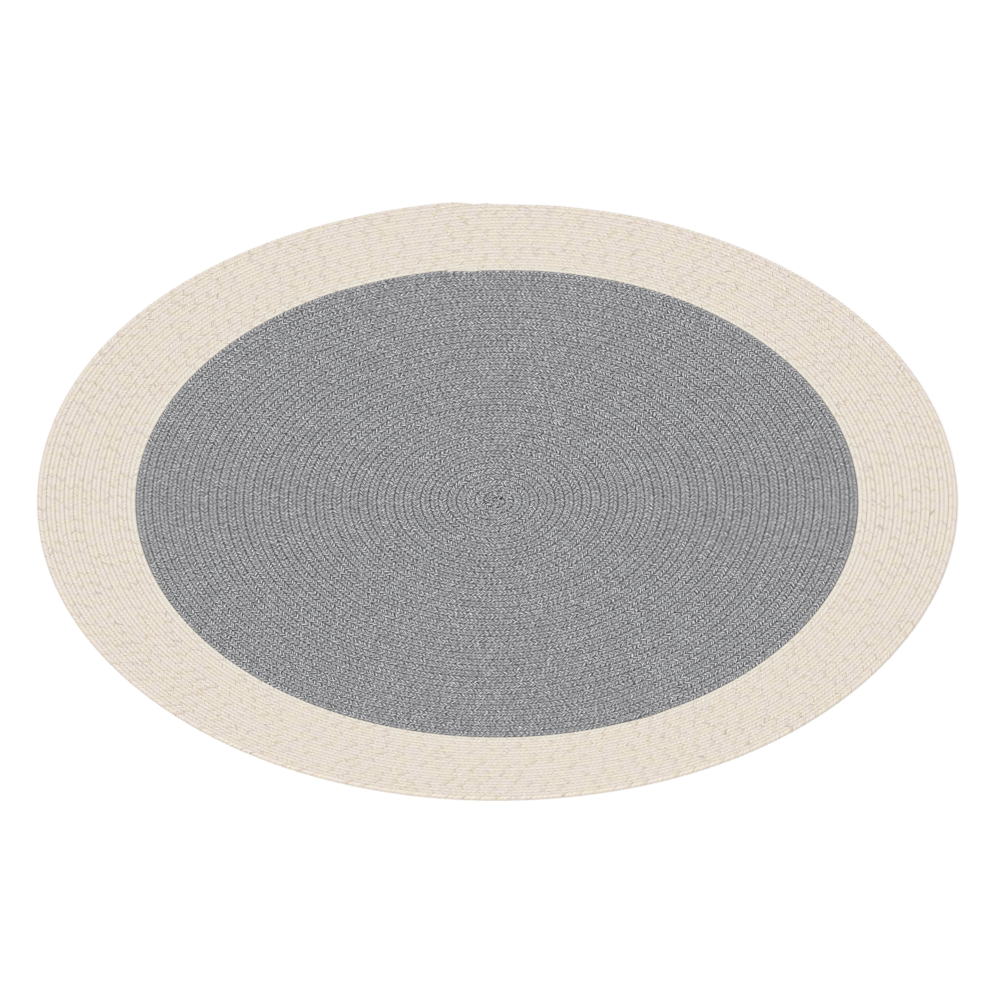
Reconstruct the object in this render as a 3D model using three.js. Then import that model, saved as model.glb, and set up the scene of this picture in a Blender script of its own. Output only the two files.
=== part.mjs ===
// Round outdoor rug, coiled from one long flat-braided cord and sewn turn to turn.
// The middle is wound in grey cord and the border in cream cord.  The cord winds
// outwards clockwise seen from above, so each colour ends in a small step: the
// splice, where grey changes to cream, and the tail, where the cream cord ends.
// Millimetres, +Z up, underside on z = 0, origin under the centre of the rug.
import * as THREE from "three";

// ---- the cord and the coil -------------------------------------------------
const RUG_DIAMETER = 1220; // outside size across the coil
const CORD_THICKNESS = 5; // the braid lies flat: floor to the top of the cord
const BORDER_CORD = 11.9; // width of one cream turn, groove to groove
const BORDER_TURNS = 11; // cream turns counted along any ray
const SEAM_GAP = 0.3; // room kept between the grey and the cream cord

const RUG_RADIUS = RUG_DIAMETER / 2;
const SPLICE_RADIUS = RUG_RADIUS - BORDER_TURNS * BORDER_CORD; // grey meets cream
const SPLICE_CENTRE = { x: -0.5, y: -3.2 }; // the field is sewn a little off centre

// ---- where the cord steps out by one turn ----------------------------------
// Both steps start at this angle (degrees, counter-clockwise from +X) and are
// read clockwise from it.
const STEP_ANGLE = 97;

// past: degrees clockwise of STEP_ANGLE; lift: how far the edge stands out from
// its circle there, as a share of a cord's width.
const TAIL_STEP = [
  { past: -14, lift: 0.0 },
  { past: -4, lift: 0.12 },
  { past: 0, lift: 0.22 }, // the last turn swells over the end below it
  { past: 1.5, lift: 0.2 },
  { past: 3, lift: -0.02 },
  { past: 4.2, lift: -0.27 }, // the cord's rounded end
  { past: 5.6, lift: -0.1 }, // its tucked-under tip
  { past: 6.8, lift: -0.31 },
  { past: 9, lift: -0.35 },
  { past: 15, lift: -0.16 },
  { past: 27, lift: 0.0 },
];
const SPLICE_STEP = [
  { past: -24, lift: 0.0 },
  { past: -9, lift: -0.14 },
  { past: -2, lift: -0.17 },
  { past: 3, lift: -0.6 }, // the first cream stitch lies half a turn further in
  { past: 7, lift: -0.54 },
  { past: 17, lift: -0.3 },
  { past: 27, lift: -0.1 },
  { past: 38, lift: 0.0 },
];

// Slow unevenness of a hand-fed coil: a few low lobes round each edge.
const TAIL_LOBES = [
  { lobes: 5, height: 0.3, turn: 89 },
  { lobes: 7, height: 0.4, turn: -62 },
];
const SPLICE_LOBES = [
  { lobes: 3, height: 0.4, turn: 115 },
  { lobes: 4, height: 0.3, turn: 150 },
];

// ---- how finely the outlines are cut ---------------------------------------
const EVEN_STEP = 2; // degrees between points round the rug
const FINE_STEP = 0.5; // degrees between points across the two steps
const FINE_FROM = STEP_ANGLE - 12;
const FINE_TO = STEP_ANGLE + 6;

// ---- section of the coil's edges -------------------------------------------
const RIM_ROUND = 3.6; // how far in the outer flank starts to fall away
const RIM_FACETS = 6; // facets of the outer flank, top to bottom
const GROOVE_ROUND = 2.2; // the same at the groove between grey and cream
const GROOVE_DEPTH = 1.5; // height of that rounding, above and below
const GROOVE_FACETS = 2; // facets of each rounding there

const radians = THREE.MathUtils.degToRad;

// Angle wrapped to -180..180 degrees.
function wrapped(degrees) {
  return ((((degrees + 180) % 360) + 360) % 360) - 180;
}

// Smooth curve through the rows of a step's table; nothing outside its range.
function liftAt(table, past) {
  const next = table.findIndex((row) => row.past > past);
  if (next <= 0) return 0;
  const from = table[next - 1];
  const to = table[next];
  const share = THREE.MathUtils.smoothstep(past, from.past, to.past);
  return THREE.MathUtils.lerp(from.lift, to.lift, share);
}

// Sum of the lobes of an edge at an angle.
function lobesAt(list, degrees) {
  return list.reduce(
    (sum, l) => sum + l.height * Math.cos(radians(l.lobes * degrees - l.turn)),
    0,
  );
}

// The rug's outside edge: its distance from the centre, angle by angle.
function outerRadius(degrees) {
  const past = wrapped(STEP_ANGLE - degrees);
  return (
    RUG_RADIUS +
    BORDER_CORD * liftAt(TAIL_STEP, past) +
    lobesAt(TAIL_LOBES, degrees)
  );
}

// The line between the grey and the cream cord.
function spliceRadius(degrees) {
  const past = wrapped(STEP_ANGLE - degrees);
  return (
    SPLICE_RADIUS +
    BORDER_CORD * liftAt(SPLICE_STEP, past) +
    lobesAt(SPLICE_LOBES, degrees) +
    SPLICE_CENTRE.x * Math.cos(radians(degrees)) +
    SPLICE_CENTRE.y * Math.sin(radians(degrees))
  );
}

// Angles of the outline points: even all round, fine across the steps.
function outlineAngles() {
  const angles = [];
  for (let a = FINE_TO; a < FINE_FROM + 360; a += EVEN_STEP) angles.push(a);
  for (let a = FINE_FROM + 360; a < FINE_TO + 360 - 1e-6; a += FINE_STEP)
    angles.push(a);
  return angles;
}

// Flank of the outer rim, from the underside round to the top: `back` is the
// distance in from the edge and z the height.
function rimProfile() {
  return Array.from({ length: RIM_FACETS + 1 }, (_, i) => {
    const t = radians(-90 + (180 * i) / RIM_FACETS);
    return {
      back: RIM_ROUND * (1 - Math.cos(t)),
      z: (CORD_THICKNESS / 2) * (1 + Math.sin(t)),
    };
  });
}

// Flank at the groove: a short rounding, a straight wall and a rounding.
function grooveProfile() {
  const lower = Array.from({ length: GROOVE_FACETS + 1 }, (_, i) => {
    const t = radians(90 - (90 * i) / GROOVE_FACETS);
    return {
      back: GROOVE_ROUND * (1 - Math.cos(t)),
      z: GROOVE_DEPTH * (1 - Math.sin(t)),
    };
  });
  const upper = lower
    .map((p) => ({ back: p.back, z: CORD_THICKNESS - p.z }))
    .reverse();
  return [...lower, ...upper];
}

// One closed body from rings of points.  rings[i][j] is point j of the section
// at angle i; a section that is open is closed by a point at its two ends.
function closedBody(rings, poles) {
  const count = rings.length;
  const width = rings[0].length;
  const positions = rings.flat(2);
  const index = [];
  for (let i = 0; i < count; i++) {
    const next = (i + 1) % count;
    const last = poles ? width - 1 : width;
    for (let j = 0; j < last; j++) {
      const up = (j + 1) % width;
      const a = i * width + j;
      const b = next * width + j;
      const c = next * width + up;
      const d = i * width + up;
      index.push(a, b, c, a, c, d);
    }
  }
  if (poles) {
    const bottom = positions.length / 3;
    const top = bottom + 1;
    positions.push(...poles.bottom, ...poles.top);
    for (let i = 0; i < count; i++) {
      const next = (i + 1) % count;
      index.push(bottom, next * width, i * width);
      index.push(top, i * width + width - 1, next * width + width - 1);
    }
  }
  const geometry = new THREE.BufferGeometry();
  geometry.setAttribute(
    "position",
    new THREE.Float32BufferAttribute(positions, 3),
  );
  geometry.setIndex(index);
  return geometry;
}

function point(radius, degrees, z) {
  const a = radians(degrees);
  return [radius * Math.cos(a), radius * Math.sin(a), z];
}

// The grey field: a flat disc whose edge follows the splice line.
function fieldGeometry() {
  const flank = grooveProfile();
  const rings = outlineAngles().map((a) =>
    flank.map((p) =>
      point(spliceRadius(a) - SEAM_GAP / 2 - p.back, a, p.z),
    ),
  );
  return closedBody(rings, { bottom: [0, 0, 0], top: [0, 0, CORD_THICKNESS] });
}

// The cream border: a flat ring from the splice line to the outside edge.
function borderGeometry() {
  const outside = rimProfile();
  const inside = grooveProfile().reverse();
  const rings = outlineAngles().map((a) => [
    ...outside.map((p) => point(outerRadius(a) - p.back, a, p.z)),
    ...inside.map((p) =>
      point(spliceRadius(a) + SEAM_GAP / 2 + p.back, a, p.z),
    ),
  ]);
  return closedBody(rings, null);
}

function cord(name, geometry, colour) {
  geometry.computeVertexNormals();
  const material = new THREE.MeshStandardMaterial({
    color: colour,
    roughness: 0.9,
    metalness: 0,
    flatShading: true,
  });
  material.name = name;
  const mesh = new THREE.Mesh(geometry, material);
  mesh.name = name;
  return mesh;
}

const group = new THREE.Group();
group.name = "round_outdoor_rug";
group.add(cord("field_coil", fieldGeometry(), 0x959597));
group.add(cord("border_coil", borderGeometry(), 0xe5dbcf));

// The small steps pull the outline's box a little off centre: put it back.
const box = new THREE.Box3().setFromObject(group, true);
const middle = box.getCenter(new THREE.Vector3());
group.position.set(-middle.x, -middle.y, -box.min.z);

export default group;
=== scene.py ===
# %% [markdown]
# # A round rug, coiled from flat braided cord
#
# The real rug is made of long flat braid, wound round and round from the middle
# and sewn turn to turn.  The middle is wound in grey heather cord, the border in
# cream cord.  In every turn the cord steps out by one width: the grey at the
# front right of the rug, the cream at the back.
#
# The plan is to build the braid itself.  Each cord has a law that says where its
# edges lie after any number of turns.  One section says how the braid is shaped,
# and everything you see is that section carried along the three laws.
#
# We start with the tools and the frame: the solids that were made before, which say
# how big the rug is and where it lies.

import math

import bpy
import numpy as np
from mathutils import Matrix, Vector


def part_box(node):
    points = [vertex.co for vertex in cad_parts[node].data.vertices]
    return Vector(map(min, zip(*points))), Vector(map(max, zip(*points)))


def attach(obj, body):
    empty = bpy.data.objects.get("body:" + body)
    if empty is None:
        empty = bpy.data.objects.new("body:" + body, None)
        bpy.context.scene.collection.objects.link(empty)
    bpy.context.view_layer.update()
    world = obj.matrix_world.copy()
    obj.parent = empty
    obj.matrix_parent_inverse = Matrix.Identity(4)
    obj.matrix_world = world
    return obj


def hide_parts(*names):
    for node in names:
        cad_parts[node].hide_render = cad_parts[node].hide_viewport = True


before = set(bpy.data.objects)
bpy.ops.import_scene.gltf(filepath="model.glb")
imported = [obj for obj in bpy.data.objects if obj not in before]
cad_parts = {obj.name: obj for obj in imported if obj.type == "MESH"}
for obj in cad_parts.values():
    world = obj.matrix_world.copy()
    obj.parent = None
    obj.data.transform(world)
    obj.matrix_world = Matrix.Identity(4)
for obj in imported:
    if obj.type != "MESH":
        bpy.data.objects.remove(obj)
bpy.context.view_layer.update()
print("solids:", sorted(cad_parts))

# %% [markdown]
# ## The sizes of the coil
#
# First come the sizes the solids were cut to, in metres: the outside radius, the
# thickness of the braid, and the width and number of the cream turns.  Eleven of
# them reach from the splice, where the grey stops, to the outside edge.  We
# repeat them here because the looks must sit exactly where the solids are.
#
# Among the solids the grey is one plain disc, so the width and number of its
# rows are new: forty of them lie between the eye of the coil and the splice.

# %% Sizes
MM = 0.001
RUG_RADIUS = 610 * MM
CORD_THICKNESS = 5 * MM
BORDER_CORD = 11.9 * MM
BORDER_TURNS = 11
FIELD_CORD = 11.8 * MM
FIELD_ROWS = 40
SPLICE_RADIUS = RUG_RADIUS - BORDER_TURNS * BORDER_CORD
EYE_RADIUS = SPLICE_RADIUS - FIELD_ROWS * FIELD_CORD

field_low, field_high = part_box("field_coil")
border_low, border_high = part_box("border_coil")
print("splice radius", round(SPLICE_RADIUS, 4), "eye radius", round(EYE_RADIUS, 4))
print("solid field is", round(field_high.x - field_low.x, 4), "m wide")
print("solid border is", round(border_high.x - border_low.x, 4), "m wide")

# %% [markdown]
# ## The studio: camera
#
# A rug lies flat, so the one thing that makes it look round or squeezed is how
# high the camera stands.  Here it looks down at about forty degrees.  A long
# lens from far away shows almost no perspective, and an orthographic camera is
# that idea taken to its end: no part of the rug looks bigger for being nearer.

# %% Camera
CAMERA_HEIGHT_ANGLE = math.radians(40.45)
VIEW_WIDTH = 1.3255
AIM_RIGHT = 0.0036
AIM_UP = 0.0017
CAMERA_DISTANCE = 4.0
FARTHEST_SEEN = 50.0

back = Vector((0, -math.cos(CAMERA_HEIGHT_ANGLE), math.sin(CAMERA_HEIGHT_ANGLE)))
up = Vector((0, math.sin(CAMERA_HEIGHT_ANGLE), math.cos(CAMERA_HEIGHT_ANGLE)))
aim = Vector((AIM_RIGHT, 0, CORD_THICKNESS / 2)) + up * AIM_UP

camera_data = bpy.data.cameras.new("studio_camera")
camera_data.type = "ORTHO"
camera_data.ortho_scale = VIEW_WIDTH
camera_data.clip_end = FARTHEST_SEEN
camera = bpy.data.objects.new("studio_camera", camera_data)
camera.location = aim + back * CAMERA_DISTANCE
camera.rotation_euler = (-back).to_track_quat("-Z", "Y").to_euler()
bpy.context.scene.collection.objects.link(camera)
bpy.context.scene.camera = camera
bpy.context.scene.view_settings.view_transform = "Standard"
print("camera at", [round(x, 3) for x in camera.location])

# %% [markdown]
# ## Writing materials as sums
#
# A material in Blender is a graph of nodes.  Long graphs are hard to read, so
# we write them as ordinary Python sums.  The class below holds one output
# socket.  When you add or multiply it, it adds the matching node and hands back
# that node's output.  Colours and vectors take Vector Math nodes, because a
# plain Math node would turn a colour into a grey number.

# %% Sockets that can be added and multiplied
class Wire:
    """One output socket of a node tree."""

    def __init__(self, tree, socket):
        self.tree = tree
        self.socket = socket

    def output(self, name):
        """Another output of the same node."""
        return Wire(self.tree, self.socket.node.outputs[name])

    def is_vector(self):
        return self.socket.type in {"VECTOR", "RGBA"}

    def joined(self, operation, first, second):
        pair = (first, second)
        vector = any(isinstance(v, tuple) for v in pair) or any(
            v.is_vector() for v in pair if isinstance(v, Wire)
        )
        kind = "ShaderNodeVectorMath" if vector else "ShaderNodeMath"
        node = self.tree.nodes.new(kind)
        node.operation = operation
        for slot, value in zip(node.inputs, pair):
            connect(self.tree, value, slot)
        return Wire(self.tree, node.outputs[0])

    def __add__(self, other):
        return self.joined("ADD", self, other)

    def __radd__(self, other):
        return self.joined("ADD", other, self)

    def __sub__(self, other):
        return self.joined("SUBTRACT", self, other)

    def __rsub__(self, other):
        return self.joined("SUBTRACT", other, self)

    def __mul__(self, other):
        return self.joined("MULTIPLY", self, other)

    def __rmul__(self, other):
        return self.joined("MULTIPLY", other, self)

    def __truediv__(self, other):
        return self.joined("DIVIDE", self, other)

    def __rtruediv__(self, other):
        return self.joined("DIVIDE", other, self)

    def __pow__(self, other):
        return self.joined("POWER", self, other)

    def __gt__(self, other):
        return self.joined("GREATER_THAN", self, other)

    def __lt__(self, other):
        return self.joined("LESS_THAN", self, other)


def connect(tree, value, slot):
    """Links a wire to a socket, or writes a plain value into it."""
    if isinstance(value, Wire):
        tree.links.new(value.socket, slot)
    elif slot.type == "RGBA" and len(value) == 3:
        slot.default_value = (*value, 1.0)
    else:
        slot.default_value = value


# %% [markdown]
# One method makes every other kind of node.  It takes the node's type, then its
# settings, then the values or wires of its sockets.  The few helpers after it
# are the moves that a cloth material needs again and again: mix two colours,
# fade between two limits, draw a random number for each ply, and lay soft noise.

# %% A material being written
class Finish:
    """A node tree that is being filled in."""

    def __init__(self, tree):
        self.tree = tree
        tree.nodes.clear()

    def node(self, kind, settings=None, sockets=None):
        made = self.tree.nodes.new(kind)
        for name, value in (settings or {}).items():
            setattr(made, name, value)
        for name, value in (sockets or {}).items():
            connect(self.tree, value, made.inputs[name])
        shown = [s for s in made.outputs if s.enabled]
        return Wire(self.tree, shown[0]) if shown else None

    def mix(self, share, first, second):
        settings = {"data_type": "RGBA"}
        return self.node("ShaderNodeMix", settings, {0: share, 6: first, 7: second})

    def fade(self, value, start, end):
        """0 at start, 1 at end, and a soft S between."""
        settings = {"interpolation_type": "SMOOTHSTEP"}
        limits = {"Value": value, "From Min": start, "From Max": end}
        return self.node("ShaderNodeMapRange", settings, limits)

    def whole(self, value):
        return self.node("ShaderNodeMath", {"operation": "FLOOR"}, {0: value})

    def size_of(self, value):
        return self.node("ShaderNodeMath", {"operation": "ABSOLUTE"}, {0: value})

    def clamp(self, value, low, high):
        return self.node("ShaderNodeClamp", None, {"Value": value, "Min": low, "Max": high})

    def point(self, x, y, z):
        return self.node("ShaderNodeCombineXYZ", None, {"X": x, "Y": y, "Z": z})

    def chance(self, x, y, z):
        """A random number from 0 to 1 that stays the same for the same three."""
        settings = {"noise_dimensions": "3D"}
        place = {"Vector": self.point(x, y, z)}
        return self.node("ShaderNodeTexWhiteNoise", settings, place)

    def cloud(self, place, scale=1.0, detail=1.0, roughness=0.5):
        """Soft noise from 0 to 1, about 0.5 on average."""
        sockets = {"Vector": place, "Scale": scale, "Detail": detail}
        sockets["Roughness"] = roughness
        return self.node("ShaderNodeTexNoise", {"noise_dimensions": "3D"}, sockets)


def srgb(red, green, blue):
    """A colour as a paint chart gives it, 0 to 255, as the light it sends back."""
    shares = [c / 255 for c in (red, green, blue)]
    return tuple(
        c / 12.92 if c <= 0.04045 else ((c + 0.055) / 1.055) ** 2.4 for c in shares
    )


print("middle grey sends back", round(srgb(149, 149, 151)[0], 3))

# %% [markdown]
# ## The studio: floor and light
#
# The rug lies on a plain white sheet that runs far past the view.  Painted cloth
# never sends back all of the light, so a white floor would come out a light
# grey.  The floor's own colour stays a plain pale paint, and only what the
# camera sees directly gets a little glow on top.  That way the floor reads
# white, and the rug still throws its thin soft shadow on it.
#
# The light is a wide soft lamp in front of the rug, about fifty degrees up, and
# an even fill from all round.  The lamp stands low enough to light the front
# flank of the rug as well as its top.  Together they send back a white paint as
# white and no more, so every colour comes out about as it is written.

# %% Floor
FLOOR_HALF = 15.0
FLOOR_PAINT = srgb(232, 232, 232)
FLOOR_GLOW = 0.24

floor_mesh = bpy.data.meshes.new("floor")
corners = [(-1, -1), (1, -1), (1, 1), (-1, 1)]
floor_mesh.from_pydata(
    [(x * FLOOR_HALF, y * FLOOR_HALF, 0.0) for x, y in corners], [], [(0, 1, 2, 3)]
)
floor = bpy.data.objects.new("floor", floor_mesh)
bpy.context.scene.collection.objects.link(floor)

floor_paint = bpy.data.materials.new("floor_paint")
floor_paint.use_nodes = True
paint = Finish(floor_paint.node_tree)
rays = paint.node("ShaderNodeLightPath")
matt = paint.node("ShaderNodeBsdfDiffuse", None, {"Color": FLOOR_PAINT})
glow = paint.node(
    "ShaderNodeEmission", None, {"Color": (1, 1, 1), "Strength": FLOOR_GLOW}
)
lit = paint.node("ShaderNodeAddShader", None, {0: matt, 1: glow})
direct = rays.output("Is Camera Ray")
seen = paint.node("ShaderNodeMixShader", None, {0: direct, 1: matt, 2: lit})
paint.node("ShaderNodeOutputMaterial", None, {"Surface": seen})
floor_mesh.materials.append(floor_paint)

# %% Light
FILL = 0.62
LAMP = 1.47
LAMP_SOFTNESS = math.radians(60)
LAMP_FROM = Vector((-0.15, -0.8, 1.0))

world = bpy.data.worlds.new("studio")
bpy.context.scene.world = world
world.use_nodes = True
room = Finish(world.node_tree)
rays = room.node("ShaderNodeLightPath")
seen_directly = (
    rays.output("Is Camera Ray")
    + rays.output("Is Glossy Ray")
    + rays.output("Is Transmission Ray")
)
fill = room.node(
    "ShaderNodeBackground", None, {"Color": (1, 1, 1), "Strength": FILL}
)
white = room.node(
    "ShaderNodeBackground", None, {"Color": (1, 1, 1), "Strength": 1.0}
)
either = room.node("ShaderNodeMixShader", None, {0: seen_directly, 1: fill, 2: white})
room.node("ShaderNodeOutputWorld", None, {"Surface": either})

lamp_data = bpy.data.lights.new("soft_lamp", "SUN")
lamp_data.energy = LAMP
lamp_data.angle = LAMP_SOFTNESS
lamp = bpy.data.objects.new("soft_lamp", lamp_data)
lamp.rotation_euler = LAMP_FROM.to_track_quat("Z", "Y").to_euler()
bpy.context.scene.collection.objects.link(lamp)
print("fill", FILL, "and lamp", LAMP)

# %% [markdown]
# ## Where the cord ends are
#
# Three cords make the rug.  A grey one is wound from the middle, a second grey
# one goes on from where the first ends, and the cream one makes the border.
# Each cord starts as a thin point beside the one before it.  The grey ones end as
# a thin point under their next neighbour, and the cream one in a rounded tip at
# the rim.  At those places the turns outside must step out by one width, and the
# rows nearby are pushed aside a little.
#
# The tables below hold that unevenness in cord widths, against degrees past an
# angle in the winding direction, which is clockwise.  An S-curve runs from each
# entry to the next.

# %% Angles and tables of the cord ends
INNER_ROWS = 32
OUTER_ROWS = FIELD_ROWS - INNER_ROWS
INNER_END_ANGLE = 122.0
OUTER_START_ANGLE = 302.0
CREAM_START_ANGLE = 98.4
STEP_ANGLE = 97.0

# where a turn steps out and where the last inner turn closes, in degrees past
# the cord's own angle; a single number is where the step that starts at 0 ends
SEAM_STEP = (130, 235)
SEAM_CLOSES = (347, 359)
OUTER_STEP = 17.0
CREAM_STEP = 37.0

# where the border line is drawn in, past the step angle
DRAWN_IN = {"past": [-21, -14, 0, 38], "lift": [0.0, -0.14, -0.14, 0.0]}
# the two dents that the pointed start of the cream cord presses into the grey
DENTS = {
    "past": [-1.7, -1.0, 0.25, 3.1, 4.6, 9, 15, 21, 27, 38],
    "lift": [0.0, -0.36, -0.21, -0.51, -0.39, -0.37, -0.24, -0.18, -0.08, 0.0],
}
# the end of the outer grey cord lifts the border line a little
GREY_END_BUMP = {"past": [158.6, 162.6, 166.6], "lift": [0.0, 0.14, 0.0]}
# how the cream cord's end swells and falls at the outside edge
TAIL_STEP = {
    "past": [-14, -4, 0, 1.5, 3, 4.2, 5.6, 6.8, 9, 15, 27],
    "lift": [0.0, 0.12, 0.22, 0.2, -0.02, -0.27, -0.1, -0.31, -0.35, -0.16, 0.0],
}
TAIL_LENGTH = 6.8


def smooth(value, start, end):
    """0 before start, 1 after end, and a soft S between."""
    share = np.clip((value - start) / (end - start), 0, 1)
    return share * share * (3 - 2 * share)


def lift_at(table, past):
    """The S-curves through a table, read at a number of degrees past its angle."""
    at, lift = np.array(table["past"]), np.array(table["lift"])
    row = np.clip(np.searchsorted(at, past, side="right") - 1, 0, len(at) - 2)
    share = smooth(past, at[row], at[row + 1])
    return lift[row] + (lift[row + 1] - lift[row]) * share


print("the tail stands out", round(float(lift_at(TAIL_STEP, 0.0)), 3), "of a cord")

# %% [markdown]
# Hands also leave slow waves: a coil is never a perfect circle.  Each wave has a
# number of lobes round the rug, a height, and a turn: the angle of its first
# crest, times the number of lobes.  The waves of the grey field are in cord
# widths, the others in metres.

# %% Slow waves
FIELD_LOBES = [
    {"lobes": 1, "height": 0.22, "turn": 58},
    {"lobes": 2, "height": 0.18, "turn": 101},
]
SPLICE_LOBES = [
    {"lobes": 2, "height": 0.57 * MM, "turn": 176},
    {"lobes": 3, "height": 0.2 * MM, "turn": 147},
    {"lobes": 4, "height": 0.16 * MM, "turn": 125},
]
RIM_LOBES = [
    {"lobes": 4, "height": 0.25 * MM, "turn": 190},
    {"lobes": 5, "height": 0.28 * MM, "turn": 51},
    {"lobes": 7, "height": 0.4 * MM, "turn": -62},
]
LOOK_BACK = 30


def lobes_at(lobes, degrees):
    """The slow unevenness of an edge, summed over its lobes."""
    return sum(
        one["height"] * np.cos(np.radians(one["lobes"] * degrees - one["turn"]))
        for one in lobes
    )


def degrees_past(angle, degrees):
    """How far clockwise of an angle a direction lies, 0 to 360."""
    return (angle - degrees) % 360


def past_step(degrees):
    """The same from the border's step, but a little way back counts as below 0."""
    return (degrees_past(STEP_ANGLE, degrees) + LOOK_BACK) % 360 - LOOK_BACK


around = np.linspace(0, 360, 9)
print("grey rows wave, in cords:", np.round(lobes_at(FIELD_LOBES, around), 2))

# %% [markdown]
# ## The law of the inner grey cord
#
# Let `turns` be how often the cord has gone round since its line of counting.
# The cord's inner edge is the outer edge of the turn before, so one law gives
# both sides and no two turns can overlap or part.
#
# Each grey turn runs as a circle and makes its step out at the front right of
# the rug.  Right at the eye the cord has no room for a step and runs as a true
# spiral, and it settles into circles over its first six turns.  The slow waves
# grow with the distance from the eye, up to a limit.  Where this cord ends, its
# last turn closes down to nothing and leaves one closed line, the seam, on
# which the next cord is laid.

# %% Inner grey cord
SPIRAL_TURNS = 6
SMALLEST_RADIUS = 0.4 * MM
WAVES_FULL_AT = RUG_RADIUS / 2
WAVES_MOST = 1.25


def field_radius(rows, degrees):
    """How far out a line lies that has so many grey rows inside it."""
    radius = EYE_RADIUS + FIELD_CORD * rows
    waves = np.clip(radius / WAVES_FULL_AT, 0, WAVES_MOST)
    return radius + FIELD_CORD * waves * lobes_at(FIELD_LOBES, degrees)


def inner_cord(turns):
    """The inner edge of the inner grey cord."""
    whole = np.floor(turns)
    past = 360 * (turns - whole)
    spiral = past / 360
    circle = smooth(past, *SEAM_STEP)
    step = spiral + (circle - spiral) * smooth(turns, 0, SPIRAL_TURNS)
    radius = field_radius(whole + step, INNER_END_ANGLE - 360 * turns)
    return np.maximum(radius, SMALLEST_RADIUS)


def seam(degrees):
    """The closed line between the two grey cords."""
    past = degrees_past(INNER_END_ANGLE, degrees)
    rows = INNER_ROWS + smooth(past, *SEAM_STEP) - smooth(past, *SEAM_CLOSES)
    return field_radius(rows, degrees)


def inner_edges(turns):
    """Both edges; the last turn's outside is the seam."""
    closing = turns >= INNER_ROWS - 1
    outside = np.where(
        closing, seam(INNER_END_ANGLE - 360 * turns), inner_cord(turns + 1)
    )
    return inner_cord(turns), outside


print("seam between the grey cords:", np.round(seam(around), 4))

# %% [markdown]
# ## The law of the outer grey cord
#
# The second cord fills the room between the seam and the border line with eight
# rows.  Each row shares that room evenly, so the waves of the seam fade towards
# the border.  The rows next to the border also give way under the pointed start
# of the cream cord: most beside it, and less with every row further in.

# %% Outer grey cord
PRESSED_DEPTH = -0.6
PRESSED_MIDDLE = 7.0
PRESSED_REACH = 20.0
PRESSED_POWER = 3


def border_line(degrees):
    """The closed line between grey and cream."""
    past = past_step(degrees)
    lift = lift_at(DRAWN_IN, past) + lift_at(DENTS, past) + lift_at(GREY_END_BUMP, past)
    return SPLICE_RADIUS + BORDER_CORD * lift


def pressed(degrees):
    """How far the rows near the border give way beside the cream cord's start."""
    past = past_step(degrees)
    near = np.clip((past - PRESSED_MIDDLE) / PRESSED_REACH, -1, 1)
    return PRESSED_DEPTH * (0.5 + 0.5 * np.cos(np.pi * near))


def outer_cord(turns):
    """The inner edge of the outer grey cord."""
    whole = np.floor(turns)
    degrees = OUTER_START_ANGLE - 360 * turns
    rows = whole - 1 + smooth(360 * (turns - whole), 0, OUTER_STEP)
    rows = np.clip(rows, 0, OUTER_ROWS)
    share = rows / OUTER_ROWS
    start = seam(degrees)
    evenly = start + share * (SPLICE_RADIUS - start)
    evenly = evenly + share**PRESSED_POWER * BORDER_CORD * pressed(degrees)
    at_line = smooth(rows, OUTER_ROWS - 1, OUTER_ROWS)
    return evenly + (border_line(degrees) - evenly) * at_line


def outer_edges(turns):
    """Both edges of the outer grey cord."""
    return outer_cord(turns), outer_cord(turns + 1)


print("border line:", np.round(border_line(around), 4))

# %% [markdown]
# ## The law of the cream cord
#
# The cream cord steps out at the back of the rug.  In its first turns it leaves
# the line quickly and then eases in, in the middle ones it takes the step more
# evenly, and the last ones make more than half of it within a hand's width.  The
# last turn's outside is the rim of the rug, and the cord's rounded end lies on it.

# %% Cream cord
TAIL_ROUNDNESS = 0.35
PACE_START = 0.5
PACE_MIDDLE = 1.2
PACE_LOSS = 0.15
DRAWN_IN_FADE = 0.4


def rim_line(turns):
    """The last turn's outside, and the outside of the tail that lies on it."""
    past = 360 * (turns - BORDER_TURNS) + STEP_ANGLE - CREAM_START_ANGLE
    first = np.clip(past / TAIL_LENGTH, 0, 1)
    rise = 1 + lift_at(TAIL_STEP, TAIL_LENGTH)
    under_tail = -1 + rise * first**TAIL_ROUNDNESS
    past_end = np.where(past > 180, past - 360, past)
    in_open = lift_at(TAIL_STEP, past_end)
    lift = np.where(past < TAIL_LENGTH, under_tail, in_open)
    return RUG_RADIUS + BORDER_CORD * lift


def cream_cord(turns):
    """The inner edge of the cream cord."""
    whole = np.floor(turns)
    degrees = CREAM_START_ANGLE - 360 * turns
    out = np.clip((whole - 1) / (BORDER_TURNS - 1), 0, 1)
    pace = PACE_START + PACE_MIDDLE * out * (1 - out) - PACE_LOSS * out
    rows = whole - 1 + np.clip(360 * (turns - whole) / CREAM_STEP, 0, 1) ** pace
    past = past_step(degrees)
    drawn = lift_at(DRAWN_IN, past) * np.clip(1 - DRAWN_IN_FADE * rows, 0, 1)
    radius = SPLICE_RADIUS + BORDER_CORD * (rows + drawn)
    radius = np.where(turns < 1, border_line(degrees), radius)
    return np.where(turns >= BORDER_TURNS, rim_line(turns), radius)


def cream_edges(turns):
    """Both edges of the cream cord."""
    return cream_cord(turns), cream_cord(turns + 1)


print("rim at three places:", np.round(cream_cord(BORDER_TURNS + around[2:5] / 360), 4))

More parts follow.
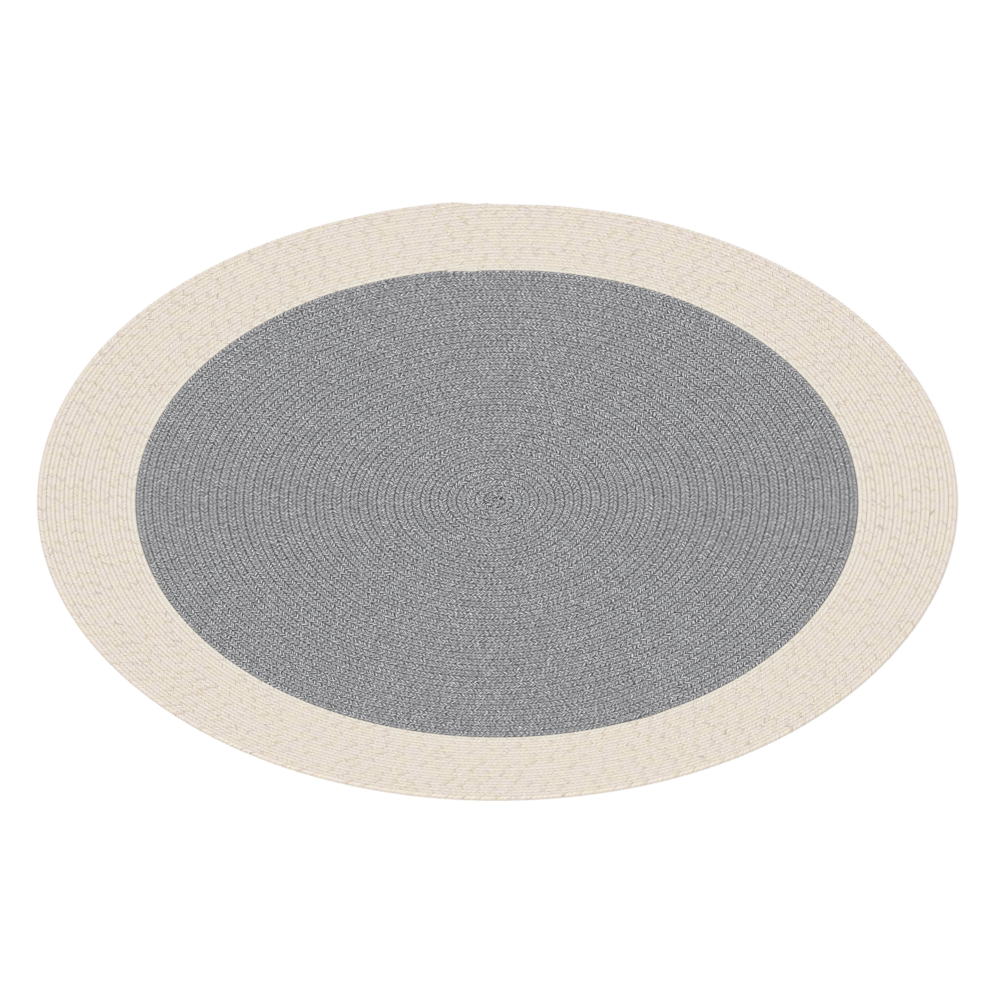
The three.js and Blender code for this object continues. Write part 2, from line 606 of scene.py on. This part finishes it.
# %% [markdown]
# ## The three cords
#
# Each cord knows its angle of counting, the law of its edges, its first and last
# turn, the lines of it that may wander, the marks that cut it into runs, and the
# turn from which its outer edge is the rim of the rug.  The tips are cut a degree
# or so short of nothing, because a cord can't be thinner than its thread.

# %% Cords
EYE_LEAD = 1.4
INNER_TIP = 1.6 / 360
OUTER_TIP = 1.5 / 360
CREAM_TIP = 0.3 / 360
TAIL_TIP = 0.25 / 360
INNER_LAST = INNER_ROWS - INNER_TIP
OUTER_LAST = OUTER_ROWS + OUTER_STEP / 360 - OUTER_TIP
TAIL_TURNS = (CREAM_START_ANGLE - STEP_ANGLE + TAIL_LENGTH) / 360
CREAM_LAST = BORDER_TURNS + TAIL_TURNS - TAIL_TIP
NEVER = 999

CORDS = [
    {"name": "inner_grey", "angle": INNER_END_ANGLE, "edges": inner_edges,
     "start": -EYE_LEAD, "end": INNER_LAST, "free": (2, INNER_ROWS),
     "cuts": [16, 24, 28], "rim": NEVER},
    {"name": "outer_grey", "angle": OUTER_START_ANGLE, "edges": outer_edges,
     "start": OUTER_TIP, "end": OUTER_LAST, "free": (1, OUTER_ROWS),
     "cuts": [4], "rim": NEVER},
    {"name": "cream", "angle": CREAM_START_ANGLE, "edges": cream_edges,
     "start": CREAM_TIP, "end": CREAM_LAST, "free": (1, BORDER_TURNS),
     "cuts": [4, 8], "rim": BORDER_TURNS - 1},
]
CREAM_CORD = CORDS[-1]
for cord in CORDS:
    print(cord["name"], "makes", round(cord["end"] - cord["start"], 2), "turns")

# %% [markdown]
# ## From the law to places on the floor
#
# A maker's hands are not a machine: the splice sits a few millimetres off the
# middle of the rug, and the edges wander by a few tenths of a millimetre.
# `place` adds both, and the slow waves of the splice and the rim.  It gives the
# point of the floor for any turn of a cord and any place across it, from -1 at
# its inner edge to 1 at its outer edge.  A last small shift keeps the whole rug
# inside the box of the solids.

# %% Places across a cord
EYE_CENTRE = (-0.5 * MM, -0.7 * MM)
SPLICE_CENTRE = (-0.2 * MM, -3.5 * MM)
SPLICE_SWELL = 0.54 * MM
FRAME_SHIFT = (-0.19 * MM, -0.47 * MM)
EVENNESS = 0.22 * MM
WANDER = [
    {"rate": 2.3, "turn": 0.4},
    {"rate": 3.7, "turn": 2.1},
    {"rate": 5.9, "turn": 4.0},
    {"rate": 8.3, "turn": 1.2},
]


def wander(cord, line):
    """Small changes of one edge, different in every turn; none at closed lines."""
    first, last = cord["free"]
    raw = sum(np.sin(2 * np.pi * one["rate"] * line + one["turn"]) for one in WANDER)
    free = smooth(line, first, first + 1) * (1 - smooth(line, last - 1, last))
    return EVENNESS * raw * free


def place(cord, turns, across):
    """x and y on the floor, after so many turns and so far across the cord."""
    inner, outer = cord["edges"](turns)
    inner = inner + wander(cord, turns)
    outer = outer + wander(cord, turns + 1)
    radius = (inner + outer) / 2 + across * (outer - inner) / 2
    degrees = cord["angle"] - 360 * turns

    # how far out the place is: on the way to the splice, then on to the rim
    to_splice = np.clip(radius / SPLICE_RADIUS, 0, 1)
    to_rim = np.clip((radius - SPLICE_RADIUS) / (RUG_RADIUS - SPLICE_RADIUS), 0, 1)
    splice_wave = lobes_at(SPLICE_LOBES, degrees) + SPLICE_SWELL
    radius = radius + splice_wave * to_splice**2 * (1 - to_rim)
    radius = radius + lobes_at(RIM_LOBES, degrees) * to_rim
    off = [
        (EYE_CENTRE[i] + (SPLICE_CENTRE[i] - EYE_CENTRE[i]) * to_splice) * (1 - to_rim)
        for i in (0, 1)
    ]
    x = radius * np.cos(np.radians(degrees)) + off[0] + FRAME_SHIFT[0]
    y = radius * np.sin(np.radians(degrees)) + off[1] + FRAME_SHIFT[1]
    return x, y


last_turn = BORDER_TURNS - 1 + np.linspace(0.1, 0.9, 9)
rim = np.hypot(*place(CREAM_CORD, last_turn, 1.0))
print("rim between", round(rim.min(), 4), "and", round(rim.max(), 4), "m out")

# %% [markdown]
# ## The shape of the braid
#
# A flat braid shows two columns of short slanted strands that meet in the
# middle, like the bones of a herring.  Each strand is a little pillow: high
# along its middle, low where it dives under its neighbour.  From the side the
# braid has two soft humps with a shallow dip between them, and its edges fall
# off only a little before they meet the next turn, where they are sewn.
#
# We carry a section along the coil.  Each section is bent into a V with its tip
# pointing back along the winding, so its line runs along a strand.  One section
# is the crest of a strand on the left and the valley between two strands on the
# right, the next one the other way round.  Two sections to a strand are enough
# to give every strand its own rounded top.
#
# At the rim of the rug nothing lies beside the cord, so its outer edge is
# rounder there: the top falls off over the last seventh of the width.

# %% Section of the braid
STRAND_PITCH = 7.4 * MM
STRAND_SLANT = 1.16
STRAND_RELIEF = 0.28 * MM
EDGE_RELIEF = 0.5
UNDER_RELIEF = 0.6
RIM_FALL_FROM = 0.7
RIM_FALL_DEPTH = 1.5 * MM
TOUCH = 0.995
TOP_SECTION = [
    (-1.0, 0.86), (-0.84, 0.945), (-0.55, 1.0), (-0.25, 0.96), (0.0, 0.9),
    (0.25, 0.96), (0.55, 1.0), (0.84, 0.945), (1.0, 0.86),
]
UNDER_SECTION = [(1.0, 0.3), (0.62, 0.0), (0.0, 0.07), (-0.62, 0.0), (-1.0, 0.3)]
ACROSS, SHARE_UP = np.array(TOP_SECTION + UNDER_SECTION).T
TOP_POINTS = len(TOP_SECTION)
ON_TOP = np.arange(len(ACROSS)) < TOP_POINTS
PAST_SHOULDER = np.clip((ACROSS - RIM_FALL_FROM) / (1 - RIM_FALL_FROM), 0, 1)
RIM_FALL = np.where(ON_TOP, RIM_FALL_DEPTH * PAST_SHOULDER**2, 0)


def section_heights(crest_left):
    """Heights of one section's points; crest_left is 1 where the left is a crest."""
    side = np.sign(ACROSS)
    crest = -side * crest_left
    at_edge = np.abs(ACROSS) == 1
    strength = np.where(side == 0, 0.0, np.where(at_edge, EDGE_RELIEF, 1.0))
    lowered = STRAND_RELIEF * (1 - crest) * strength
    return CORD_THICKNESS * SHARE_UP - np.where(ON_TOP, lowered, -UNDER_RELIEF * lowered)


print("section points:", len(ACROSS), "heights in mm:",
      np.round(section_heights(1) / MM, 2))

# %% [markdown]
# To place the sections evenly we need the length of cord wound so far.  We add
# it up over small steps of the coil, and then read off the turn that belongs to
# every half strand of length.

# %% Cord length
MEASURED_STEPS = 40000

for cord in CORDS:
    fine = np.linspace(cord["start"], cord["end"], MEASURED_STEPS + 1)
    inner, outer = cord["edges"](fine)
    radius = (inner + outer) / 2
    steps = np.diff(fine) * np.pi * (radius[1:] + radius[:-1])
    cord["fine"] = fine
    cord["wound"] = np.concatenate([[0], np.cumsum(steps)])
    print(cord["name"], "cord is", round(float(cord["wound"][-1]), 2), "m long")

# %% [markdown]
# ## Building a run of cord
#
# The coil is built in runs, each a closed body of its own, because one mesh of
# a hundred metres of braid would be too heavy to handle.  A run ends in the V of
# a strand, so the next one fits it without a seam.
#
# Every face also gets two sets of flat coordinates.  The first counts strands
# along the cord and says how far across it the point lies, and the materials
# read it.  The second cuts the run into straight lengths and stacks them in a
# square, like a cord laid to and fro, so that its colours can be stored in a
# picture with no part left over.

# %% Rings of points
HALF_STRAND = STRAND_PITCH / 2
TIGHTEST_BEND = 14 * MM
STRAIGHT_END = 0.012
RIM_EASE = 0.01
THIN_BELOW = 0.6 * BORDER_CORD
THINNEST = 0.6


def ring_points(cord, first, last):
    """Points of the sections number first to last, as rings of x, y, z."""
    numbers = np.arange(first, last + 1)
    length = np.minimum(numbers * HALF_STRAND, cord["wound"][-1])
    turns = np.interp(length, cord["wound"], cord["fine"])
    inner, outer = cord["edges"](turns)
    half = np.maximum(outer - inner, 0) / 2

    # the V: the further from the middle, the further along the cord
    around = 2 * np.pi * np.maximum((inner + outer) / 2, TIGHTEST_BEND)
    lean = STRAND_SLANT * half / around
    lean = lean * smooth(cord["end"] - turns, 0.0, STRAIGHT_END)
    shifted = turns[:, None] + lean[:, None] * np.abs(ACROSS)
    shifted = np.minimum(shifted, cord["end"])
    x, y = place(cord, shifted, TOUCH * ACROSS)

    # crests and valleys in turn, the rounded rim, and flatter where it tapers
    even = (numbers % 2 == 0)[:, None]
    z = np.where(even, section_heights(1), section_heights(-1))
    at_rim = smooth(turns, cord["rim"] - RIM_EASE, cord["rim"] + RIM_EASE)[:, None]
    z = z - at_rim * RIM_FALL
    full = np.clip(2 * half / THIN_BELOW, 0, 1)[:, None]
    return np.stack([x, y, z * (THINNEST + (1 - THINNEST) * full)], axis=2)


for cord in CORDS:
    print(cord["name"], "takes", int(cord["wound"][-1] / HALF_STRAND), "sections")

# %% Faces of a run
SECTION_POINTS = len(ACROSS)
HUB = TOP_POINTS + 2
CAP_FACES = [
    (HUB, i, (i + 1) % SECTION_POINTS)
    for i in range(SECTION_POINTS) if i not in (HUB - 1, HUB)
]


def skin_faces(count):
    """Ring and column of each face between the rings, and its four corners."""
    ring = np.repeat(np.arange(count), SECTION_POINTS)
    column = np.tile(np.arange(SECTION_POINTS), count)
    right = (column + 1) % SECTION_POINTS
    here, ahead = ring * SECTION_POINTS, (ring + 1) * SECTION_POINTS
    corners = [here + column, here + right, ahead + right, ahead + column]
    return ring, column, np.stack(corners, axis=1)


def end_faces(count):
    """Corners of the two cut ends: triangles round the middle of the underside."""
    first = [face[::-1] for face in CAP_FACES]
    last = [[count * SECTION_POINTS + corner for corner in face] for face in CAP_FACES]
    return np.array(first + last)


print("a cut end has", len(CAP_FACES), "triangles")

# %% Coordinates that the materials read
UNDER_MARK = 4


def strand_coordinates(ring, column, first):
    """Strands along the cord, place across it; the underside is marked."""
    along = (first + ring) / 2
    right = (column + 1) % SECTION_POINTS
    mark = np.where(column < TOP_POINTS - 1, 0, UNDER_MARK)
    left_v, right_v = mark + ACROSS[column], mark + ACROSS[right]
    u = np.stack([along, along, along + 0.5, along + 0.5], axis=1)
    v = np.stack([left_v, right_v, right_v, left_v], axis=1)
    return np.stack([u, v], axis=2).reshape(-1, 2)


# %% Coordinates that store the colours
LENGTH_FINER = 1.5
STORED_WIDTH = 16 * MM
STORE_GAP = 0.06
TOP_ROOM = 0.82
CAP_ROOM = 16


def stored_columns():
    """Where each column of a section lies across a stored length, 0 to 1."""
    top = np.abs(np.diff(ACROSS[:TOP_POINTS]))
    under = np.ones(SECTION_POINTS - TOP_POINTS + 1)
    room = np.concatenate([
        TOP_ROOM * top / top.sum(), (1 - TOP_ROOM) * under / under.sum()
    ])
    return np.concatenate([[0], np.cumsum(room)])


def stored_lengths(ring, column, rows, per_row):
    """The skin, cut into straight lengths that lie above each other."""
    line = ring // per_row
    start = (ring - line * per_row) / per_row
    stop = start + 1 / per_row
    columns = stored_columns()
    low = (line + STORE_GAP / 2 + (1 - STORE_GAP) * columns[column]) / rows
    high = (line + STORE_GAP / 2 + (1 - STORE_GAP) * columns[column + 1]) / rows
    u = np.stack([start, start, stop, stop], axis=1)
    v = np.stack([low, high, high, low], axis=1)
    return np.stack([u, v], axis=2).reshape(-1, 2)


print("columns of a stored length:", np.round(stored_columns(), 2))

# %% Room for the cut ends
CAPS_IN_LINE = len(CAP_FACES) // 2
CAP_FIRST = 1.5
CAP_APART = 1.2
CAP_LENGTH = 0.9
CAP_DROP = 0.25
CAP_LINES_APART = 0.35
CAP_HEIGHT = 0.3


def stored_ends(rows, per_row):
    """The cut ends' triangles, in the free cells after the last length."""
    cell = 1 / per_row
    corners = []
    for i in range(2 * len(CAP_FACES)):
        end, face = divmod(i, len(CAP_FACES))
        line, place_in_line = divmod(face, CAPS_IN_LINE)
        cells = CAP_FIRST + CAP_APART * (place_in_line + CAPS_IN_LINE * end)
        x = 1 - cell * cells
        y = 1 - (CAP_DROP + CAP_LINES_APART * line) / rows
        corners += [(x, y), (x + CAP_LENGTH * cell, y), (x, y - CAP_HEIGHT / rows)]
    return np.array(corners)


print("cut ends take", round(CAP_FIRST + CAP_APART * (2 * CAPS_IN_LINE - 1), 1), "cells")

# %% [markdown]
# Smooth shading rounds the strands, but the line where a strand dives under the
# next should stay crisp.  So the edges in the valleys are marked sharp, and so
# are the rims of the two cut ends.

# %% Crisp valleys
def mark_valleys(mesh, rings, first):
    """Smooths the faces and keeps the valleys and the cut ends sharp."""
    mesh.polygons.foreach_set("use_smooth", np.ones(len(mesh.polygons), bool))
    ends = np.empty(len(mesh.edges) * 2, np.int32)
    mesh.edges.foreach_get("vertices", ends)
    one, other = ends.reshape(-1, 2).T
    ring_one, column_one = np.divmod(one, SECTION_POINTS)
    ring_other, column_other = np.divmod(other, SECTION_POINTS)
    same_ring = ring_one == ring_other
    middle = (ACROSS[column_one] + ACROSS[column_other]) / 2
    wraps = np.abs(column_one - column_other) > SECTION_POINTS / 2
    even = (ring_one + first) % 2 == 0
    valley = same_ring & ~wraps & np.where(even, middle > 0, middle < 0)
    cut = same_ring & ((ring_one == 0) | (ring_one == rings - 1))
    sharp = mesh.attributes.new("sharp_edge", "BOOLEAN", "EDGE")
    sharp.data.foreach_set("value", valley | cut)


# %% Run builder
STRANDS_MAP = "strands"
STORE_MAP = "OFBake"
CAP_MARK = UNDER_MARK + 0.5


def skin_mesh(name, points, quads, caps):
    """A mesh of four-sided faces along the cord and three-sided ones at its ends."""
    mesh = bpy.data.meshes.new(name)
    corners = np.concatenate([quads.ravel(), caps.ravel()])
    sizes = np.concatenate([np.full(len(quads), 4), np.full(len(caps), 3)])
    starts = np.concatenate([[0], np.cumsum(sizes)[:-1]])
    mesh.vertices.add(points.size // 3)
    mesh.vertices.foreach_set("co", points.astype(np.float32).ravel())
    mesh.loops.add(len(corners))
    mesh.loops.foreach_set("vertex_index", corners.astype(np.int32))
    mesh.polygons.add(len(sizes))
    mesh.polygons.foreach_set("loop_start", starts.astype(np.int32))
    mesh.update(calc_edges=True)
    return mesh


def add_map(mesh, name, skin, ends):
    """A set of flat coordinates, for the skin's corners and the cut ends'."""
    layer = mesh.uv_layers.new(name=name)
    both = np.concatenate([skin, ends]).astype(np.float32)
    layer.uv.foreach_set("vector", both.ravel())


def build_run(cord, name, first_length, last_length):
    """A closed piece of cord between two lengths of it."""
    first = int(round(first_length / HALF_STRAND))
    last = int(round(last_length / HALF_STRAND))
    points = ring_points(cord, first, last)
    count = len(points) - 1
    ring, column, quads = skin_faces(count)
    caps = end_faces(count)
    mesh = skin_mesh(name, points, quads, caps)

    cap_strands = np.full((caps.size, 2), [first / 2, CAP_MARK])
    add_map(mesh, STRANDS_MAP, strand_coordinates(ring, column, first), cap_strands)

    stored_area = LENGTH_FINER * (last_length - first_length) * TOP_ROOM
    rows = max(1, int(round(math.sqrt(stored_area / STORED_WIDTH))))
    per_row = int(math.ceil((count + CAP_ROOM) / rows))
    stored = stored_lengths(ring, column, rows, per_row)
    add_map(mesh, STORE_MAP, stored, stored_ends(rows, per_row))

    mark_valleys(mesh, len(points), first)
    piece = bpy.data.objects.new(name, mesh)
    bpy.context.scene.collection.objects.link(piece)
    return piece


# %% [markdown]
# ## Winding the rug
#
# Six runs of grey cord make the field and three of cream make the border.  The
# runs near the outside hold fewer turns, because a turn there is longer.

# %% Runs of cord
runs = {"grey": [], "cream": []}
for cord in CORDS:
    colour = cord["name"].split("_")[-1]
    marks = [cord["start"], *cord["cuts"], cord["end"]]
    lengths = np.interp(marks, cord["fine"], cord["wound"])
    for start, stop in zip(lengths[:-1], lengths[1:]):
        name = f"{colour}_cord_{len(runs[colour]) + 1}"
        piece = build_run(cord, name, start, stop)
        runs[colour].append({"piece": piece, "length": float(stop - start)})
        print(name, round(stop - start, 2), "m,", len(piece.data.polygons), "faces")

# %% [markdown]
# ## Reading the strands
#
# Both yarns look at a point of the cord in the same way: which strand it is on,
# which of the plies twisted into that strand, how near to the strand's edge, and
# how far from the middle of the braid.  All of it comes from the flat
# coordinates, so the pattern follows the cord round every turn.
#
# From those places come the high and low parts of the braid: the lines between
# plies, the valleys between strands, the groove beside the next turn, and the
# hump along the middle of each column of strands.  The bumps use the lines and
# the valleys.  The colours use all four, as painted shade in the low parts and
# painted light on the humps.

# %% Places in the strands
def read_strands(finish, plies_in_strand):
    """What a braid material needs to know about a point of the cord."""
    flat = finish.node("ShaderNodeUVMap", {"uv_map": STRANDS_MAP})
    parts = finish.node("ShaderNodeSeparateXYZ", None, {"Vector": flat})
    along = parts.output("X")
    marked = parts.output("Y")
    under = marked > UNDER_MARK / 2
    across = marked - UNDER_MARK * under
    on_left = across < 0.0
    count = along + 0.5 * on_left
    number = finish.whole(count)
    plies = count * plies_in_strand
    ply = finish.whole(plies)
    return {
        "count": count,
        "number": number,
        "ply": ply,
        "side": on_left + 2 * under,
        "from_middle": finish.size_of(across),
        "in_strand": finish.size_of(count - number - 0.5) * 2,
        "in_ply": finish.size_of(plies - ply - 0.5) * 2,
    }


# %% High and low parts of the braid
PLY_LINE_FROM = 0.55
VALLEY_FROM = 0.2
GROOVE_FROM = 0.8
HUMP_AT = 0.5


def read_relief(finish, at):
    """Each number is 1 in the middle of its own part of the braid, and 0 far off."""
    rise = finish.fade(at["from_middle"], 0.0, HUMP_AT)
    # The groove mask only feeds the colours, as painted shade in the crease beside the next
    # turn, and the hump mask only paints light onto the tops of the humps.
    return {
        "between_plies": finish.fade(at["in_ply"], PLY_LINE_FROM, 1.0),
        "valley": finish.fade(at["in_strand"], VALLEY_FROM, 1.0),
        "groove": finish.fade(at["from_middle"], GROOVE_FROM, 1.0),
        "hump_light": rise * finish.fade(at["from_middle"], 1.0, HUMP_AT),
    }


# %% [markdown]
# Each ply shows its own run of pale and dark.  It gets its own slice of soft
# noise, which changes along the ply but not across it: the number of the ply,
# times a step that isn't whole, picks the slice.  Part of its two neighbours'
# slices is taken off, so plies side by side are seldom alike.
#
# The same kind of noise, stretched along the plies, gives the fine fibres.  A
# third noise lies over the whole rug and lets the yarn drift from place to place.

# %% Noise of a yarn
LIKENESS = 0.9
ACROSS_SCALE = 1.3
SLICE_START = (0.37, 0.2)
FIBRES_ACROSS = 4
DRIFT_DETAIL = 2.0
DRIFT_ROUGHNESS = 0.6


def own_licks(finish, at, ply_step, side_step):
    """Each ply's own run of pale and dark, with its two neighbours' taken off."""
    def run(ply):
        x = ply * ply_step + SLICE_START[0]
        z = at["side"] * side_step + SLICE_START[1]
        place = finish.point(x, at["from_middle"] * ACROSS_SCALE, z)
        return finish.cloud(place) - 0.5

    before, own, after = run(at["ply"] - 1.0), run(at["ply"]), run(at["ply"] + 1.0)
    return own - (before + after) * (LIKENESS / 2)


def read_noise(finish, at, yarn):
    """The pale and dark runs, the fine fibres and the slow drift of a yarn."""
    licks = own_licks(finish, at, *yarn["lick_steps"])
    finer, side_step = yarn["fibre_steps"]
    fibre_place = finish.point(
        at["count"] * finer, at["from_middle"] * FIBRES_ACROSS, at["side"] * side_step
    )
    fibres = finish.cloud(fibre_place)
    body = finish.node("ShaderNodeTexCoord").output("Object")
    drift = finish.cloud(body, yarn["drift_scale"], DRIFT_DETAIL, DRIFT_ROUGHNESS)
    return {"licks": licks, "fibres": fibres, "drift": drift}


# %% [markdown]
# Both yarns start and end the same way.  At the start a material is made and the
# point is read.  At the end come small bumps, with the plies, the strands and the
# fibres standing out of each other, and a rough fibre surface with a trace of
# sheen where its fuzz catches the light from the side.

# %% Opening and closing a yarn material
PLY_HEIGHT = 0.7
STRAND_HEIGHT = 0.5
FIBRE_HEIGHT = 0.3
BUMP_DISTANCE = 0.4 * MM


def opened(name, yarn):
    """A new material, its finish, and all that is known of a point of the cord."""
    material = bpy.data.materials.new(name)
    material.use_nodes = True
    finish = Finish(material.node_tree)
    at = read_strands(finish, yarn["plies"])
    at.update(read_relief(finish, at))
    at.update(read_noise(finish, at, yarn))
    return material, finish, at


def closed(material, finish, at, yarn, colour):
    """The colour, with the bumps and the rough surface of a yarn."""
    height = (
        (1 - at["between_plies"]) * PLY_HEIGHT
        + (1 - at["valley"]) * STRAND_HEIGHT
        + at["fibres"] * FIBRE_HEIGHT
    )
    relief = {"Height": height, "Distance": BUMP_DISTANCE, "Strength": yarn["bump"]}
    sockets = {
        "Base Color": colour,
        "Normal": finish.node("ShaderNodeBump", None, relief),
        "Roughness": 0.92,
        "Sheen Weight": 0.08,
        "Sheen Roughness": 0.6,
        "Specular IOR Level": 0.18,
    }
    surface = finish.node("ShaderNodeBsdfPrincipled", None, sockets)
    finish.node("ShaderNodeOutputMaterial", None, {"Surface": surface})
    print(material.name, "has", len(material.node_tree.nodes), "nodes")
    return material


# %% [markdown]
# ## Grey heather yarn
#
# Heather yarn is spun from dark and light fibres together.  Four plies lie side
# by side in each strand, and every one shows its own run of pale and dark: a
# bright lick here, a charcoal one beside it, each as long as the strand is wide.
# From a step away it all melts into one even grey.
#
# So the tone is worked out as one number, as bright as the eye reads it, and a
# table says how strong each part is in it.  The pale and dark runs count most.
# The lines between plies, the valleys between strands and the grooves are painted
# darker, as the shade in the low parts, and the humps along each column are
# painted lighter, as the light on their tops.  Rough fibre never shines, so the
# brightest licks are taken back a little, and the darkest go deeper by as much.
# Only at the end does the number become the share of light that the yarn sends
# back.

# %% Grey heather material
GREY_TINT = (0.988, 0.992, 1.022)
GREY_LEVEL = 0.572
SHINE_LOST = 0.5
DARKEST = 0.05
EYE_CURVE = 2.2
GREY = {
    "plies": 4, "lick_steps": (7.31, 5.1), "fibre_steps": (24, 3.7),
    "drift_scale": 90.0, "bump": 0.6,
}
# How strong each part is in the tone: the hump weight is painted light on the tops of the
# humps, and the valley, ply-line and groove weights are painted shade in the low parts.
GREY_SHARE = {
    "licks": 2.12, "fibres": 0.3, "drift": 0.11, "hump_light": 0.165,
    "valley": 0.16, "between_plies": 0.05, "groove": 0.20,
}


def heather(name):
    """The grey yarn."""
    material, finish, at = opened(name, GREY)
    # painted light on the humps, and painted shade in the valleys, between the plies and in
    # the grooves
    tone = (
        GREY_LEVEL
        + at["licks"] * GREY_SHARE["licks"]
        + (at["fibres"] - 0.5) * GREY_SHARE["fibres"]
        + (at["drift"] - 0.5) * GREY_SHARE["drift"]
        + (at["hump_light"] - 0.5) * GREY_SHARE["hump_light"]
        - (at["valley"] - 0.5) * GREY_SHARE["valley"]
        - at["between_plies"] * GREY_SHARE["between_plies"]
        - at["groove"] * GREY_SHARE["groove"]
    )
    away = tone - GREY_LEVEL
    tone = finish.clamp(tone - away * away * SHINE_LOST, DARKEST, 1.0)
    colour = (tone**EYE_CURVE) * GREY_TINT
    return closed(material, finish, at, GREY, colour)


grey_yarn = heather("grey_heather_yarn")

# %% [markdown]
# ## Cream yarn
#
# The cream cord looks plain from afar and is full of small things from near.
# Of every three strands one is spun with tan thread, which shows as one or two
# thin slanted dashes.  Here and there sits a dark speck of husk, and slow
# patches drift between a pinker and a yellower cream.  The first turn, next to
# the grey, is a touch paler than the rest.
#
# Light that bounces about between cream fibres comes out warmer, so a shaded
# place is not just a darker cream.  We get that by raising the tone to a higher
# power in blue than in red.

# %% Cream paints
CREAM_PINK = srgb(239, 228.6, 220)
CREAM_GOLD = srgb(239.5, 229.6, 214)
CREAM_PALE = srgb(238.5, 231.6, 219.5)
TAN_THREAD = srgb(205, 182, 155)
HUSK = srgb(150, 140, 128)
CREAM = {
    "plies": 5, "lick_steps": (6.13, 4.3), "fibre_steps": (22, 2.9),
    "drift_scale": 50.0, "bump": 0.4,
}
FIRST_TURN = float(np.interp(1.0, CREAM_CORD["fine"], CREAM_CORD["wound"]))
FIRST_TURN_STRANDS = FIRST_TURN / STRAND_PITCH
PALE_FADE_STRANDS = 9
PALE_SHARE = 0.8
PATCH_EDGE = (0.4, 0.6)
print("the paler first turn is", round(FIRST_TURN_STRANDS), "strands long")


def cream_patches(finish, at):
    """The pinker and yellower patches, and the paler first turn."""
    base = finish.mix(finish.fade(at["drift"], *PATCH_EDGE), CREAM_PINK, CREAM_GOLD)
    pale_end = FIRST_TURN_STRANDS + PALE_FADE_STRANDS
    pale = finish.fade(at["count"], pale_end, FIRST_TURN_STRANDS)
    return finish.mix(pale * PALE_SHARE, base, CREAM_PALE)


# %% Tan dashes and specks of husk
TAN_EVERY = 3.0
TAN_SHOWS = (0.25, 0.9)
TAN_SHARE = 0.8
HUSK_ABOVE = 0.985
HUSK_EDGE = 0.12
HUSK_SHARE = 0.7
TAN_DRAW = 8.0
HUSK_DRAW = 15.0


def cream_flecks(finish, at, base):
    """Tan dashes on the first and third ply of every third strand, and specks."""
    third = finish.whole(at["number"] / TAN_EVERY)
    spun = (at["number"] - third * TAN_EVERY) < 0.5
    ply_in_strand = at["ply"] - at["number"] * CREAM["plies"]
    every_other = finish.size_of(ply_in_strand - 1.0) > 0.5
    first_plies = (ply_in_strand < 2.5) * every_other
    showing = finish.chance(at["ply"], at["side"], TAN_DRAW)
    dash = spun * first_plies * finish.fade(showing, *TAN_SHOWS)
    base = finish.mix(dash * TAN_SHARE, base, TAN_THREAD)
    husk = finish.chance(at["ply"], at["side"], HUSK_DRAW) > HUSK_ABOVE
    speck = finish.fade(at["licks"], 0.0, HUSK_EDGE)
    return finish.mix(husk * speck * HUSK_SHARE, base, HUSK)


# %% Cream material
CREAM_LEVEL = 0.990
WARM_SHADE = (2.0, 2.2, 2.5)
MIDDLE_REACH = 0.2
# How strong each part is in the tone: the hump weight is painted light on the tops of the
# humps; the middle, valley, ply-line and groove weights are painted shade in the low parts.
CREAM_SHARE = {
    "licks": 0.36, "fibres": 0.08, "hump_light": 0.054, "middle": 0.030,
    "valley": 0.045, "between_plies": 0.015, "groove": 0.033,
}


def cream(name):
    """The cream yarn."""
    material, finish, at = opened(name, CREAM)
    base = cream_flecks(finish, at, cream_patches(finish, at))
    # painted shade along the shallow dip between the two columns of strands
    middle = finish.fade(at["from_middle"], MIDDLE_REACH, 0.0)
    # painted light on the humps, and painted shade in the middle dip, the valleys, between
    # the plies and in the grooves
    tone = (
        CREAM_LEVEL
        + at["licks"] * CREAM_SHARE["licks"]
        + (at["fibres"] - 0.5) * CREAM_SHARE["fibres"]
        + (at["hump_light"] - 0.5) * CREAM_SHARE["hump_light"]
        - middle * CREAM_SHARE["middle"]
        - (at["valley"] - 0.5) * CREAM_SHARE["valley"]
        - at["between_plies"] * CREAM_SHARE["between_plies"]
        - at["groove"] * CREAM_SHARE["groove"]
    )
    colour = base * (tone**WARM_SHADE)
    return closed(material, finish, at, CREAM, colour)


cream_yarn = cream("cream_yarn")

# %% [markdown]
# ## Each run in its place
#
# Every run rides on the rug's one body, takes its yarn, and hides the plain solid
# of its colour, which it stands for.  Each is a flat tape of braid, as wide as
# the cord and as long as the run, laid on the floor.

# %% Runs take their place
RUN_KINDS = [
    {"runs": runs["grey"], "yarn": grey_yarn, "node": "field_coil",
     "slot": "grey_cord", "width": FIELD_CORD},
    {"runs": runs["cream"], "yarn": cream_yarn, "node": "border_coil",
     "slot": "cream_cord", "width": BORDER_CORD},
]
for kind in RUN_KINDS:
    for run in kind["runs"]:
        piece = run["piece"]
        piece.data.materials.append(kind["yarn"])
        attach(piece, "root")
        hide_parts(kind["node"])
    total = sum(run["length"] for run in kind["runs"])
    print(kind["slot"], "in", len(kind["runs"]), "runs,", round(total, 2), "m")
